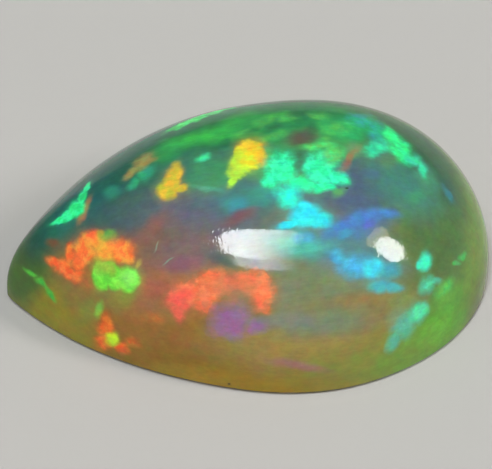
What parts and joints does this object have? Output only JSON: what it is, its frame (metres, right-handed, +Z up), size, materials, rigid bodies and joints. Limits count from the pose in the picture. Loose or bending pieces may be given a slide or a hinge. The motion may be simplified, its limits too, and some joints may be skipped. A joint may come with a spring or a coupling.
{
  "type": "opal cabochon",
  "caption": "Pear-shaped opal cabochon with a flat polished back, a narrow girdle and a high dome, honey-coloured with play of colour.",
  "frame": {"origin": "middle of the flat back, centred on the stone's length and width", "axes": "-X towards the pointed tip, +X towards the round head, +Y across the width, +Z up through the dome, out of the back"},
  "size_m": [0.015, 0.01, 0.005],
  "materials": {
    "opal": "polished, translucent"
  },
  "bodies": {
    "root": {"opal_cabochon": "opal"}
  },
  "joints": []
}
